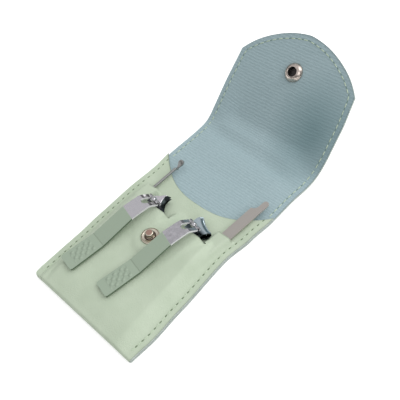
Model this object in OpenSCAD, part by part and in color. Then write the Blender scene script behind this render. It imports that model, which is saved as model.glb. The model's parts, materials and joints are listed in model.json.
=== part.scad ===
/* [Pouch] */
// Width of the pouch across its side seams
case_w = 70; // [66:0.5:80]
// Distance from the bottom fold to the crease where the flap closes
fold_y = 105.15; // [104:0.05:108]
// Thickness of the outer leather
leather_t = 0.8; // [0.6:0.05:1]
// Thickness of the lining bonded inside it
lining_t = 0.5; // [0.4:0.05:0.7]
// Air between the front and the back where the side seams are sewn
seam_gap = 0.1; // [0.05:0.05:0.3]
// Width of the flat strip that each side seam takes
seam_w = 3.5; // [3:0.5:5]
// Lowest point of the curved mouth of the pocket
mouth_y = 77.2; // [76:0.2:80]
// How much further the mouth reaches at the side seams
mouth_rise = 16.1; // [12:0.5:20]
// How sharply the mouth turns up towards the left and the right seam
mouth_power = [2.3, 2.8];
// Clear cut between flap and pouch at the crease
crease_gap = 0.3; // [0.2:0.05:0.6]

/* [Slits] */
// Half length of the left clipper's slit
left_slit_half = 10.8; // [10:0.1:11.5]
// Half length of the right clipper's slit
right_slit_half = 9.2; // [8:0.1:9.5]
// Room between the edge of a wide slit and the left post
post_room = 0.55; // [0.3:0.05:0.8]
// Place of the two narrow slits for the file and the ear pick
small_slit_y = 70.6; // [70:0.1:72]
// Width of each cut
slit_cut = 0.5; // [0.4:0.05:0.8]
// How far the outer lip of a wide slit stands up
lip_rise = 2.5; // [2:0.1:2.8]
// Room between the clippers' arms and the lining
arm_room = 0.4; // [0.3:0.05:0.5]

/* [Flap] */
// Distance from the bottom fold to where the open flap starts to rise
rise_y = 120; // [118:0.5:124]
// Slope of the open flap
rise_angle = 42; // [30:1:50]
// Inside radius of the bend below the slope
rise_r = 14; // [10:0.5:20]
// Height of the arched end beyond the corners
arch_h = 19.4; // [16:0.2:24]
// How far each arch centre lies beyond the middle, which makes the end pointed
arch_shift = 4; // [2:0.5:6]

/* [Snap] */
// Distance from the bottom fold to the snap
stud_y = 47.3; // [46:0.1:48]
// Height of the closed flap's lining above the resting face, at the snap
closed_h = 12.4; // [12.2:0.1:13]
// Radius of the stud's flange
stud_flange_r = 4.6; // [4:0.1:5]
// Radius of the stud's head
stud_head_r = 2.1; // [1.9:0.05:2.2]
// Outer radius of the socket and its cap
socket_r = 5; // [4.5:0.1:6]
// Height of the socket above the lining
socket_h = 2.6; // [2.4:0.1:3]
// Distance of the socket below the flap's corners
socket_drop = 0.8; // [0.5:0.1:3]
// Room between the head and the spring ring
snap_clearance = 0.35; // [0.25:0.05:0.45]

/* [Clippers] */
// Place of the left clipper's post
left_post = [-12.9, 62.8];
// Place of the right clipper's post
right_post = [13.2, 63.8];
// Turn of the left clipper against the pouch
left_turn = 9.7; // [8:0.1:10]
// Turn of the right clipper against the pouch
right_turn = 12; // [10:0.1:13]
// How far the left clipper's jaws are set round to the side
left_jaw_turn = 50; // [40:1:55]
// How far the right clipper's jaws are set round to the side
right_jaw_turn = 15; // [0:1:18]
// Height of the arms' underside at the post
arm_z = 3.2; // [3.1:0.05:3.3]
// Rise of the arms towards the jaws
arm_tilt = 1.7; // [1.4:0.1:1.9]
// Length of the arms behind the post
arm_len = 48; // [46:0.5:50]
// Half width of the arms
arm_half_w = 4.2; // [3.6:0.1:4.3]
// Thickness of each arm
arm_t = 1.1; // [0.9:0.05:1.2]
// Outer height of the pair of arms at the post
arms_h = 4.6; // [4.4:0.05:4.7]
// Width of the left jaws
left_jaw_w = 10.6; // [10:0.2:12]
// Width of the right jaws
right_jaw_w = 10.4; // [10:0.2:12]
// Distance from the left post to the cutting corners
left_jaw_reach = 6.9; // [6.4:0.1:7.4]
// Distance from the right post to the cutting corners
right_jaw_reach = 6.4; // [6:0.1:7.2]
// Opening of the jaws at rest
jaw_gap = 1.2; // [1:0.05:1.4]
// Radius of the hollow ground into the left cutting edges
left_hollow_r = 7; // [6:0.5:20]
// Radius of the hollow ground into the right cutting edges
right_hollow_r = 16; // [6:0.5:20]
// Radius of the post
post_r = 1.6; // [1.4:0.05:1.65]
// Clearance of the post in the arms
post_clearance = 0.08; // [0.05:0.01:0.1]
// Radius of the rear rivet
rivet_r = 1.5; // [1.2:0.1:1.8]

/* [Levers] */
// Thickness of the levers
lever_t = 1; // [0.8:0.05:1.1]
// Height of the cross pins above the arms
pin_rise = 2.8; // [2.7:0.05:3]
// Height of a lever's crest above its cross pin
crest_rise = 3.85; // [3.4:0.05:4.2]
// Length of a lever behind the post
lever_len = 51.2; // [49:0.1:52]
// Distance from the post to the bend of a lever
lever_bend = 32.6; // [31:0.1:34]
// Height of a lever's top at its bend above the arms
bend_rise = 2.2; // [2:0.1:2.6]
// Height of a lever's top at its finger end above the arms
finger_rise = 1.6; // [1.4:0.1:2.2]
// Widths of the left lever at the head, bend and finger end
left_lever_w = [8.8, 9.5, 10.1];
// Widths of the right lever at the head, bend and finger end
right_lever_w = [8, 8.8, 9.3];
// Radius of the ears that hold the cross pin
ear_r = 1; // [0.95:0.05:1.05]
// Thickness of the ears
ear_t = 1.2; // [1:0.05:1.3]
// Radius of the cross pin
cross_pin_r = 0.6; // [0.5:0.05:0.65]
// Clearance of the cross pin in the ears
cross_pin_clearance = 0.06; // [0.04:0.01:0.1]

/* [File and ear pick] */
// Width of the nail file
file_w = 5.4; // [5:0.1:6.2]
// Thickness of the nail file
file_t = 1; // [0.8:0.05:1.1]
// Reach of the file beyond its slit
file_out = 27.3; // [24:0.1:28]
// Length of the file inside the pocket
file_in = 55; // [50:1:58]
// Width of the file's narrow tip
file_tip_w = 3; // [2.4:0.1:3.6]
// Length of the file's narrow tip
file_tip_len = 8; // [6:0.5:10]
// Radius of the ear pick's wire
wire_r = 0.75; // [0.6:0.05:0.8]
// Reach of the straight wire beyond its slit
wire_out = 15.5; // [14:0.5:17]
// Length of the ear pick inside the pocket
wire_in = 46; // [42:1:48]
// Length of the spoon
spoon_len = 5.2; // [4.8:0.2:6]
// Width of the spoon
spoon_w = 3.2; // [2.6:0.1:3.6]

/* [Hidden] */

// The origin lies on the resting face, this far from the bottom fold
rest_y = 52;
skin_t = leather_t + lining_t;
seam_h = 2 * skin_t + seam_gap;
half_w = case_w / 2;
eps = 0.01;

green = [0.73, 0.79, 0.70];
blue_grey = [0.62, 0.70, 0.72];
steel = [0.80, 0.80, 0.80];
sage = [0.60, 0.67, 0.59];
warm_silver = [0.78, 0.75, 0.70];

function smooth(t) = let (c = min(max(t, 0), 1)) c * c * (3 - 2 * c);

// A plateau from a to b that falls to nothing over the distance d on either side
function plateau(x, a, b, d) = smooth((x - a + d) / d) * smooth((b + d - x) / d);

// The upper arm's top, along the clipper from its rear end to the post
rivet_y = -arm_len + 3.2;
tail_gap = 0.15;
rivet_head_h = 0.25;
tail = arm_t + tail_gap;
arm_bow = [[-arm_len, tail], [rivet_y + 2, tail], [-32, tail + 0.55], [-20, tail + 1.35],
           [-8, arms_h - arm_t], [0, arms_h - arm_t]];
function arm_top(y) =
    let (u = y - left_post[1])
    arm_z + u * tan(arm_tilt) + lookup(u, arm_bow) + arm_t + rivet_head_h * smooth(-u / arm_len);

// Outer surface of the front: how high it swells over the arms, along the middle
slit_y = left_post[1] - post_r - post_room + slit_cut / 2;
tail_y = left_post[1] - arm_len;
lip_reach = 9;
function lip(y) = lip_rise * exp(-(slit_y - y) / lip_reach);
function over_arms(y) = arm_top(y) + arm_room + skin_t - seam_h - lip(y);
function swell(y) = y > tail_y ? over_arms(y) : over_arms(tail_y) * (0.2 + 0.8 * sin(90 * y / tail_y));
swell_fall = 9.4;
side_fall = 7.5;

// The two wide slits, as [start, end], and the width over which each lip rises
left_slit_x = left_post[0] + 1.1;
right_slit_x = right_post[0];
left_slit = [left_slit_x - left_slit_half, left_slit_x + left_slit_half];
right_slit = [right_slit_x - right_slit_half, right_slit_x + right_slit_half];
lip_side = 3.4;
sunk_side = 2;
function in_slit(x, s, side) = plateau(x, s[0] + side, s[1] - side, side);
// The lips rise over the clippers' arms, so behind the slits they follow each clipper's turn
function lip_window(x, y) =
    in_slit(x - (y - slit_y) * tan(left_turn), left_slit, lip_side)
    + in_slit(x - (y - slit_y) * tan(right_turn), right_slit, lip_side);
function sunk_window(x) = in_slit(x, left_slit, sunk_side) + in_slit(x, right_slit, sunk_side);

// The file and the ear pick, each a line through its slit with a turn and a tilt
file_x = 25.9;
file_turn = 4.6;
file_tilt = 2;
file_z = seam_h + 0.65 + file_t / 2;
pick_x = -23.5;
pick_turn = 2.4;
pick_tilt = 2.2;
pick_z = seam_h + 0.6 + wire_r;
grip_w = 3.4;
grip_t = 1.1;
grip_len = 30;
neck_bend = -35;
neck_len = 1.8;
spoon_bend = 27;
tool_clearance = 0.25;

function file_line(y) = file_x + (y - small_slit_y) * tan(file_turn);
function pick_line(y) = pick_x + (y - small_slit_y) * tan(pick_turn);
function over_file(x, y) =
    (file_z + (y - small_slit_y) * tan(file_tilt) + file_t / 2 + tool_clearance + skin_t - seam_h)
    * plateau(x - file_line(y), -file_w / 2 - fine_step, file_w / 2 + fine_step, 1.7);
function over_pick(x, y) =
    (pick_z + (y - small_slit_y) * tan(pick_tilt) + wire_r + tool_clearance + skin_t - seam_h)
    * plateau(x - pick_line(y), -grip_w / 2 - fine_step, grip_w / 2 + fine_step, 2);

// Height of the swelling above the seam before and after the wide slits
function swell_near(x, y) =
    smooth((half_w - seam_w - abs(x)) / side_fall)
    * (swell(y) + lip_window(x, y) * lip(y));
function swell_far(x, y) =
    smooth((half_w - seam_w - abs(x)) / side_fall)
    * swell(slit_y) * (1 - sunk_window(x)) * smooth(1 - (y - slit_y) / swell_fall);
function swell_clip(x, y) = y < slit_y ? swell_near(x, y) : swell_far(x, y);
function swell_tool(x, y) = y < small_slit_y ? max(over_file(x, y), over_pick(x, y)) : 0;

// The front lies flat round the stud
stud_z = seam_h + swell(stud_y) + lip(stud_y);
function at_stud(x, y) = smooth((10.5 - norm([x, y - stud_y])) / 4);
function front_h(x, y) = seam_h
    + (1 - at_stud(x, y)) * max(swell_clip(x, y), swell_tool(x, y))
    + at_stud(x, y) * (stud_z - seam_h);

// Curved mouth of the pocket
function mouth(x) = mouth_y + mouth_rise * pow(abs(x) / half_w, mouth_power[x < 0 ? 0 : 1]);

// Columns of the skin: fine where it bends sharply over the ear pick and the file
function steps(a, b, n) = [for (k = [0:n - 1]) a + (b - a) * k / n];
fine_step = 1.2;
columns = concat(steps(-half_w, pick_x - 6, 2), steps(pick_x - 6, pick_x + 3.6, 8),
                 steps(pick_x + 3.6, 14.7, 14), steps(14.7, half_w - seam_w, 14),
                 steps(half_w - seam_w, half_w, 2), [half_w]);
last_column = len(columns) - 1;

// Rows of the skin: along the back, round the bottom fold, up the front to the mouth
back_rows = [fold_y - crease_gap / 2, 60, 6];
fold_steps = 5;
front_rows = [5, 9, 14, 20, 26, 32, 38, 44, 49, 53, 56.5, 59.3,
              slit_y - slit_cut * 0.4, slit_y + slit_cut * 0.4, 64.3, 67.4,
              small_slit_y - slit_cut * 0.4, small_slit_y + slit_cut * 0.4];
mouth_steps = 4;
last_row = front_rows[len(front_rows) - 1];
row_count = len(back_rows) + fold_steps + 1 + len(front_rows) + mouth_steps;

function fold_point(x, k, depth) =
    let (r = front_h(x, 2) / 2, a = -90 + 180 * k / fold_steps)
    [x, r - (r - depth) * cos(a), r + (r - depth) * sin(a)];
function front_point(x, y, depth) = [x, y, front_h(x, y) - depth];
function skin_point(x, k, depth) =
    k < len(back_rows) ? [x, back_rows[k], depth]
    : k <= len(back_rows) + fold_steps ? fold_point(x, k - len(back_rows), depth)
    : let (i = k - len(back_rows) - fold_steps - 1)
      i < len(front_rows) ? front_point(x, front_rows[i], depth)
      : front_point(x, last_row + (mouth(x) - last_row) * (i - len(front_rows) + 1) / mouth_steps, depth);

// A closed sheet between two depths below the outer surface
module skin(outer, inner) {
    stride = last_column + 1;
    sheet = row_count * stride;
    outside = [for (k = [0:row_count - 1]) for (x = columns) skin_point(x, k, outer)];
    inside = [for (k = [0:row_count - 1]) for (x = columns) skin_point(x, k, inner)];
    broad = [for (k = [0:row_count - 2]) for (j = [0:last_column - 1])
        let (a = k * stride + j, b = a + 1, c = a + stride + 1, d = a + stride)
        each [[a, c, b], [a, d, c], [sheet + a, sheet + b, sheet + c], [sheet + a, sheet + c, sheet + d]]];
    sides = [for (k = [0:row_count - 2]) for (e = [0, last_column])
        let (a = k * stride + e, d = a + stride)
        each e == 0 ? [[a, sheet + d, d], [a, sheet + a, sheet + d]]
                    : [[a, d, sheet + d], [a, sheet + d, sheet + a]]];
    ends = [for (j = [0:last_column - 1]) for (k = [0, row_count - 1])
        let (a = k * stride + j, b = a + 1)
        each k == 0 ? [[a, b, sheet + b], [a, sheet + b, sheet + a]]
                    : [[a, sheet + b, b], [a, sheet + a, sheet + b]]];
    polyhedron(concat(outside, inside), concat(broad, sides, ends), convexity = 8);
}

module slit(x0, x1, y) {
    translate([x0, y - slit_cut / 2, seam_h - skin_t])
        cube([x1 - x0, slit_cut, 12]);
}

module slits() {
    slit(left_slit[0], left_slit[1], slit_y);
    slit(right_slit[0], right_slit[1], slit_y);
    slit(file_x - file_w / 2 - 1.4, file_x + file_w / 2 + 1.4, small_slit_y);
    slit(pick_x - 2.6, pick_x + 2.6, small_slit_y);
}

// The hole through which the stud and its eyelet clamp the front
rivet_bore = 1.3;
module stud_hole() {
    translate([0, stud_y, stud_z - 4])
        cylinder(r = rivet_bore, h = 8, $fn = 48);
}

module case_skin(outer, inner) {
    translate([0, -rest_y, 0])
        difference() {
            skin(outer, inner);
            slits();
            stud_hole();
        }
}

module case_leather() { color(green) case_skin(0, leather_t); }
module case_lining() { color(blue_grey) case_skin(leather_t, skin_t); }

// The flap's slope is as long as it takes for the socket to close over the stud:
// both lie at one distance from the crease, where the flap turns
slope_start = [rise_y - fold_y + rise_r * sin(rise_angle), rise_r * (1 - cos(rise_angle))];
slope_way = [cos(rise_angle), sin(rise_angle)];
snap_reach = norm([fold_y - stud_y, closed_h - skin_t]);
socket_place = sqrt(pow(slope_start * slope_way, 2) - slope_start * slope_start
                    + snap_reach * snap_reach) - slope_start * slope_way;
slope_len = socket_place + socket_drop;

module on_slope() {
    translate([0, rise_y - rest_y, rise_r + skin_t])
        rotate([rise_angle, 0, 0])
            translate([0, 0, -rise_r - skin_t])
                children();
}

module arch_outline() {
    drop = (pow(half_w + arch_shift, 2) - pow(arch_shift, 2) - pow(arch_h, 2)) / (2 * arch_h);
    r = norm([half_w + arch_shift, drop]);
    intersection() {
        translate([-arch_shift, slope_len - drop]) circle(r = r, $fn = 180);
        translate([arch_shift, slope_len - drop]) circle(r = r, $fn = 180);
        translate([-half_w, -eps]) square([case_w, slope_len + arch_h + 1]);
    }
}

module flap_layer(low, high) {
    start = fold_y + crease_gap / 2;
    translate([-half_w, start - rest_y, low])
        cube([case_w, rise_y - start, high - low]);
    translate([0, rise_y - rest_y, rise_r + skin_t])
        rotate([0, 90, 0])
            rotate_extrude(angle = rise_angle, $fn = 120)
                translate([rise_r + skin_t - high, -half_w])
                    square([high - low, case_w]);
    on_slope()
        translate([0, 0, low])
            linear_extrude(height = high - low)
                arch_outline();
}

module flap_hole() {
    on_slope()
        translate([0, socket_place, -2])
            cylinder(r = rivet_bore, h = 6, $fn = 48);
}

module flap_leather() {
    color(green)
        difference() {
            flap_layer(0, leather_t);
            flap_hole();
        }
}

module flap_lining() {
    color(blue_grey)
        difference() {
            flap_layer(leather_t, skin_t);
            flap_hole();
        }
}

// Stud: a thin flange, a neck and a rounded head, hollow for the eyelet's tube
fit = 0.05;
tube_r = 1.2;
tube_top = 1.5;
head_round = 0.75;
head_z = 2.5;
module snap_stud() {
    color(warm_silver)
        translate([0, stud_y - rest_y, stud_z + fit])
            rotate_extrude($fn = 72)
                difference() {
                    union() {
                        polygon([[0, 0], [stud_flange_r, 0], [stud_flange_r, 0.35],
                                 [stud_flange_r - 0.3, 0.65], [stud_flange_r - 0.8, 0.75],
                                 [stud_flange_r - 1.3, 0.5], [2.3, 0.35], [1.9, 0.6],
                                 [1.75, head_z - 0.7], [stud_head_r - head_round, head_z],
                                 [stud_head_r - head_round, head_z + head_round],
                                 [0, head_z + head_round]]);
                        translate([stud_head_r - head_round, head_z])
                            circle(r = head_round, $fn = 48);
                    }
                    translate([-1, -1]) square([tube_r + fit + 1, tube_top + fit + 1]);
                }
}

module snap_eyelet() {
    color(steel)
        translate([0, stud_y - rest_y, stud_z - skin_t - fit])
            rotate_extrude($fn = 72)
                polygon([[0.7, -0.45], [1, -0.6], [3.3, -0.6], [3.8, -0.35], [3.8, 0], [tube_r, 0],
                         [tube_r, skin_t + 2 * fit + tube_top - 0.05],
                         [0.7, skin_t + 2 * fit + tube_top - 0.05]]);
}

module snap_cap() {
    color(warm_silver)
        on_slope()
            translate([0, socket_place, -fit])
                rotate_extrude($fn = 72)
                    polygon([[0, -1.3], [2.2, -1.25], [3.8, -1], [socket_r - 0.3, -0.5],
                             [socket_r, 0], [tube_r, 0], [tube_r, skin_t + 0.4], [0, skin_t + 0.4]]);
}

// Socket: a rolled rim round the opening, with a groove for the spring ring
spring_wire_r = 0.3;
mouth_r = stud_head_r + snap_clearance;
ring_r = mouth_r + spring_wire_r - 0.05;
ring_z = socket_h - 0.7;
groove_h = 2 * spring_wire_r + 0.1;
module snap_socket() {
    color(warm_silver)
        on_slope()
            translate([0, socket_place, skin_t + fit])
                rotate_extrude($fn = 72)
                    difference() {
                        polygon([[0, 0], [socket_r, 0], [socket_r, 0.5], [socket_r - 0.2, 0.85],
                                 [socket_r - 0.7, 1.55], [socket_r - 1.3, socket_h - 0.45],
                                 [socket_r - 1.9, socket_h - 0.08], [mouth_r + 0.3, socket_h],
                                 [mouth_r, socket_h - 0.25], [mouth_r, 0.45], [0, 0.45]]);
                        translate([0, ring_z - groove_h / 2])
                            square([ring_r + spring_wire_r + 0.05, groove_h]);
                        translate([-1, -1]) square([tube_r + fit + 1, 2]);
                    }
}

module snap_spring() {
    color(steel)
        on_slope()
            translate([0, socket_place, skin_t + fit + ring_z])
                rotate([0, 0, 20])
                    rotate_extrude(angle = 320, $fn = 72)
                        translate([ring_r, 0]) circle(r = spring_wire_r, $fn = 16);
}

// Clippers: each is built about its post, with y towards the jaws and z up
module at_clipper(post, turn) {
    translate([post[0], post[1] - rest_y, arm_z])
        rotate([0, 0, -turn])
            rotate([arm_tilt, 0, 0])
                children();
}

// Longer than the clippers are high, for cuts that go right through them
through = 2 * (arms_h + pin_rise + crest_rise);

module across(width) {
    rotate([90, 0, 90])
        linear_extrude(height = width, center = true)
            children();
}

lower_edge = (arms_h - jaw_gap) / 2;
upper_edge = lower_edge + jaw_gap;

// A pair of jaws is given by its turn, width, reach from the post and hollow radius
left_jaws = [left_jaw_turn, left_jaw_w, left_jaw_reach, left_hollow_r];
right_jaws = [right_jaw_turn, right_jaw_w, right_jaw_reach, right_hollow_r];
jaw_root = 1.2;
jaw_corner = 0.25;

// The strap of an arm, which ends where the jaw begins
module arm_plan(jaw_turn) {
    difference() {
        union() {
            hull() {
                translate([0, -arm_len + 3.4]) circle(r = 3.4, $fn = 32);
                translate([-arm_half_w, -6]) square([2 * arm_half_w, 6]);
            }
            circle(r = arm_half_w + 0.4, $fn = 64);
        }
        rotate([0, 0, -jaw_turn])
            translate([-2 * arm_half_w, jaw_root])
                square([4 * arm_half_w, 2 * arm_half_w]);
    }
}

module jaw_plan(half, reach) {
    polygon([[-arm_half_w, -1.5], [arm_half_w, -1.5], [arm_half_w + 0.2, 0.6],
             [half, reach - 3.2], [half, reach - jaw_corner], [-half, reach - jaw_corner],
             [-half, reach - 3.2], [-arm_half_w - 0.2, 0.6]]);
}

// A jaw: the plate bends towards the other arm and is ground to a hollow edge.
// Its profile gives heights by the distance from that edge, and turns about the hollow's centre.
module jaw(profile, jaws) {
    half = jaws[1] / 2;
    r = jaws[3];
    rotate([0, 0, -jaws[0]])
        intersection() {
            translate([0, jaws[2] + sqrt(r * r - half * half), 0])
                rotate_extrude($fn = 120)
                    polygon([for (p = profile) [r + p[0], p[1]]]);
            translate([0, 0, -through / 2])
                linear_extrude(height = through)
                    jaw_plan(half, jaws[2]);
        }
}

module strap(profile, jaw_turn) {
    intersection() {
        across(4 * arm_half_w) polygon(profile);
        translate([0, 0, -through / 2])
            linear_extrude(height = through)
                arm_plan(jaw_turn);
    }
}

module lower_arm(jaws) {
    far = 2 * jaws[2];
    past = arm_half_w + 1;
    difference() {
        union() {
            strap([[-arm_len - 1, 0], [past, 0], [past, arm_t], [-arm_len - 1, arm_t]], jaws[0]);
            jaw([[far, 0], [2.1, 0], [1.7, 0.12], [0, lower_edge - 0.05], [0, lower_edge],
                 [0.7, lower_edge], [1.7, arm_t + 0.1], [2.5, arm_t], [far, arm_t]], jaws);
        }
        translate([0, 0, -1])
            cylinder(r = post_r + post_clearance, h = arm_t + 2, $fn = 48);
        translate([0, 0, -1])
            cylinder(r = 2.75, h = 1.35, $fn = 48);
        translate([0, rivet_y, -1])
            cylinder(r = rivet_r, h = arm_t + 2, $fn = 48);
    }
}

module upper_arm(jaws) {
    far = 2 * jaws[2];
    top = arms_h;
    past = arm_half_w + 1;
    underside = concat([[-arm_len - 1, tail]], arm_bow, [[past, top - arm_t]]);
    topside = [for (k = [len(underside) - 1:-1:0]) underside[k] + [0, arm_t]];
    difference() {
        union() {
            strap(concat(underside, topside), jaws[0]);
            jaw([[far, top - arm_t], [2.5, top - arm_t], [1.7, top - arm_t - 0.1],
                 [0.7, upper_edge], [0, upper_edge], [0, upper_edge + 0.05],
                 [1.7, top - 0.12], [2.1, top], [far, top]], jaws);
        }
        translate([0, 0, -1])
            cylinder(r = post_r + post_clearance + 0.06, h = arms_h + 2, $fn = 48);
        translate([0, rivet_y, -1])
            cylinder(r = rivet_r + 0.08, h = arms_h, $fn = 48);
    }
}

module rear_rivet() {
    head_r = rivet_r + 0.9;
    tail_top = 2 * arm_t + tail_gap + fit;
    translate([0, rivet_y, 0])
        rotate_extrude($fn = 48)
            polygon([[0, -rivet_head_h], [head_r - 0.5, -rivet_head_h], [head_r, -0.05], [head_r, 0],
                     [rivet_r, 0], [rivet_r, tail_top], [head_r, tail_top], [head_r, tail_top + 0.05],
                     [head_r - 0.5, tail_top + rivet_head_h], [0, tail_top + rivet_head_h]]);
}

// Heights above the arms' underside
pin_z = arms_h + pin_rise;
crest_z = pin_z + crest_rise;
post_head_z = pin_z + 0.1;

module post_pin() {
    difference() {
        union() {
            translate([0, 0, -0.3]) cylinder(r = 2.6, h = 0.6, $fn = 48);
            translate([0, 0, -0.3]) cylinder(r = post_r, h = post_head_z + 0.3, $fn = 48);
            translate([0, 0, post_head_z]) sphere(r = post_r, $fn = 48);
        }
        translate([-3, 0, pin_z])
            rotate([0, 90, 0])
                cylinder(r = cross_pin_r, h = 6, $fn = 32);
    }
}

fork_half_w = post_r + 0.3;
module cross_pin() {
    half = fork_half_w + ear_t - 0.1;
    translate([-half, 0, pin_z])
        rotate([0, 90, 0])
            cylinder(r = cross_pin_r, h = 2 * half, $fn = 32);
}

fork_front = 1.35;
slot_end = 4.3;
module lever_plan(widths) {
    corner = 1.3;
    end = widths[2] / 2;
    hull() {
        translate([-widths[0] / 2, fork_front - 0.4]) square([widths[0], eps]);
        translate([-widths[0] / 2 + 0.5, fork_front - eps]) square([widths[0] - 1, eps]);
        translate([-widths[1] / 2, -lever_bend]) square([widths[1], eps]);
    }
    hull() {
        translate([-widths[1] / 2, -lever_bend]) square([widths[1], eps]);
        translate([-end + corner, -lever_len + corner]) circle(r = corner, $fn = 32);
        translate([end - corner, -lever_len + corner]) circle(r = corner, $fn = 32);
    }
}

// Side view of a lever's top: from the fork over the crest and down to the finger end
lever_top = [[fork_front, pin_z - 0.1], [0, crest_z - 3.25], [-1.4, crest_z - 2.3],
             [-3, crest_z - 1.05], [-4.2, crest_z - 0.3], [-5.6, crest_z], [-11.5, crest_z],
             [-14.5, crest_z - 0.15], [-lever_bend, arms_h + bend_rise],
             [-lever_len, arms_h + finger_rise]];

// Moves a line sideways by t, so that a sheet of that thickness lies between the two
function direction(line, k) = (line[k + 1] - line[k]) / norm(line[k + 1] - line[k]);
function beside(line, t) =
    [for (k = [0:len(line) - 1])
        let (d1 = direction(line, max(k - 1, 0)), d2 = direction(line, min(k, len(line) - 2)),
             mid = (d1 + d2) / norm(d1 + d2))
        line[k] + t / (mid * d1) * [-mid[1], mid[0]]];

module lever(widths) {
    underside = beside(lever_top, lever_t);
    difference() {
        union() {
            intersection() {
                across(2 * widths[2])
                    polygon(concat(lever_top, [for (k = [len(underside) - 1:-1:0]) underside[k]]));
                linear_extrude(height = through) lever_plan(widths);
            }
            for (side = [-1, 1])
                translate([side * (fork_half_w + ear_t / 2), 0, 0])
                    across(ear_t)
                        translate([0, pin_z]) circle(r = ear_r, $fn = 48);
        }
        translate([-fork_half_w, -slot_end, 0])
            cube([2 * fork_half_w, slot_end + 2 * fork_front, through]);
        translate([0, -slot_end, 0])
            cylinder(r = fork_half_w, h = through, $fn = 48);
        translate([-widths[0], 0, pin_z])
            rotate([0, 90, 0])
                cylinder(r = cross_pin_r + cross_pin_clearance, h = 2 * widths[0], $fn = 32);
    }
}

module left_lower_arm() { color(steel) at_clipper(left_post, left_turn) lower_arm(left_jaws); }
module left_upper_arm() { color(steel) at_clipper(left_post, left_turn) upper_arm(left_jaws); }
module left_rear_rivet() { color(steel) at_clipper(left_post, left_turn) rear_rivet(); }
module left_post_pin() { color(steel) at_clipper(left_post, left_turn) post_pin(); }
module left_cross_pin() { color(steel) at_clipper(left_post, left_turn) cross_pin(); }
module left_lever() { color(sage) at_clipper(left_post, left_turn) lever(left_lever_w); }

module right_lower_arm() { color(steel) at_clipper(right_post, right_turn) lower_arm(right_jaws); }
module right_upper_arm() { color(steel) at_clipper(right_post, right_turn) upper_arm(right_jaws); }
module right_rear_rivet() { color(steel) at_clipper(right_post, right_turn) rear_rivet(); }
module right_post_pin() { color(steel) at_clipper(right_post, right_turn) post_pin(); }
module right_cross_pin() { color(steel) at_clipper(right_post, right_turn) cross_pin(); }
module right_lever() { color(sage) at_clipper(right_post, right_turn) lever(right_lever_w); }

// A tool that lies along a line through its slit
module at_tool(x, z, turn, tilt) {
    translate([x, small_slit_y - rest_y, z])
        rotate([0, 0, -turn])
            rotate([tilt, 0, 0])
                children();
}

// File: a flat plate whose end narrows by a hollow shoulder to a rounded tip
module file_plan() {
    shoulder = file_out - file_tip_len;
    side = (file_w - file_tip_w) / 2;
    difference() {
        union() {
            translate([-file_w / 2, -file_in + 2]) square([file_w, file_in + shoulder + 2]);
            translate([0, -file_in + 2 + 1]) circle(r = file_w / 2, $fn = 48);
            translate([file_w / 2 - file_tip_w, shoulder]) square([file_tip_w, file_tip_len - file_tip_w / 2]);
            translate([(file_w - file_tip_w) / 2, file_out - file_tip_w / 2])
                circle(r = file_tip_w / 2, $fn = 48);
        }
        translate([-file_w / 2 - 0.6, shoulder + 3.4]) circle(r = file_w - file_tip_w + 0.6, $fn = 64);
    }
}

module nail_file() {
    color(steel)
        at_tool(file_x, file_z, file_turn, file_tilt)
            translate([0, 0, -file_t / 2])
                linear_extrude(height = file_t)
                    file_plan();
}

// Ear pick: a flat grip, a round wire and a dished spoon that bends upwards
module ear_pick() {
    color(steel)
        at_tool(pick_x, pick_z, pick_turn, pick_tilt) {
            translate([0, -wire_in + grip_len - 2, 0])
                rotate([-90, 0, 0])
                    cylinder(r = wire_r, h = wire_in - grip_len + 2 + wire_out, $fn = 32);
            translate([0, 0, -grip_t / 2])
                linear_extrude(height = grip_t) {
                    translate([-grip_w / 2, -wire_in + grip_w / 2])
                        square([grip_w, grip_len - grip_w]);
                    translate([0, -wire_in + grip_w / 2]) circle(r = grip_w / 2, $fn = 32);
                }
            translate([0, wire_out, 0]) sphere(r = wire_r + 0.02, $fn = 32);
            translate([0, wire_out, 0])
                rotate([neck_bend - 90, 0, 0]) cylinder(r = wire_r - 0.05, h = neck_len, $fn = 32);
            translate([0, wire_out + neck_len * cos(neck_bend), neck_len * sin(neck_bend)])
                rotate([spoon_bend, 0, 0]) {
                    sphere(r = wire_r - 0.03, $fn = 32);
                    difference() {
                        translate([0, 0, -0.45])
                            linear_extrude(height = 0.9)
                                spoon_plan();
                        translate([0, spoon_len - spoon_w * 0.75, 3.1])
                            sphere(r = 3.1, $fn = 64);
                    }
                }
        }
}

module spoon_plan() {
    hull() {
        translate([0, spoon_len - spoon_w / 2]) circle(r = spoon_w / 2, $fn = 32);
        translate([0, spoon_w]) circle(r = spoon_w / 2 - 0.2, $fn = 32);
        translate([0, 1.2]) circle(r = wire_r * 0.8, $fn = 24);
    }
}

case_leather();
case_lining();
snap_stud();
snap_eyelet();
flap_leather();
flap_lining();
snap_cap();
snap_socket();
snap_spring();
left_lower_arm();
left_upper_arm();
left_rear_rivet();
left_post_pin();
left_cross_pin();
left_lever();
right_lower_arm();
right_upper_arm();
right_rear_rivet();
right_post_pin();
right_cross_pin();
right_lever();
nail_file();
ear_pick();
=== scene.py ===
import json
import math

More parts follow.
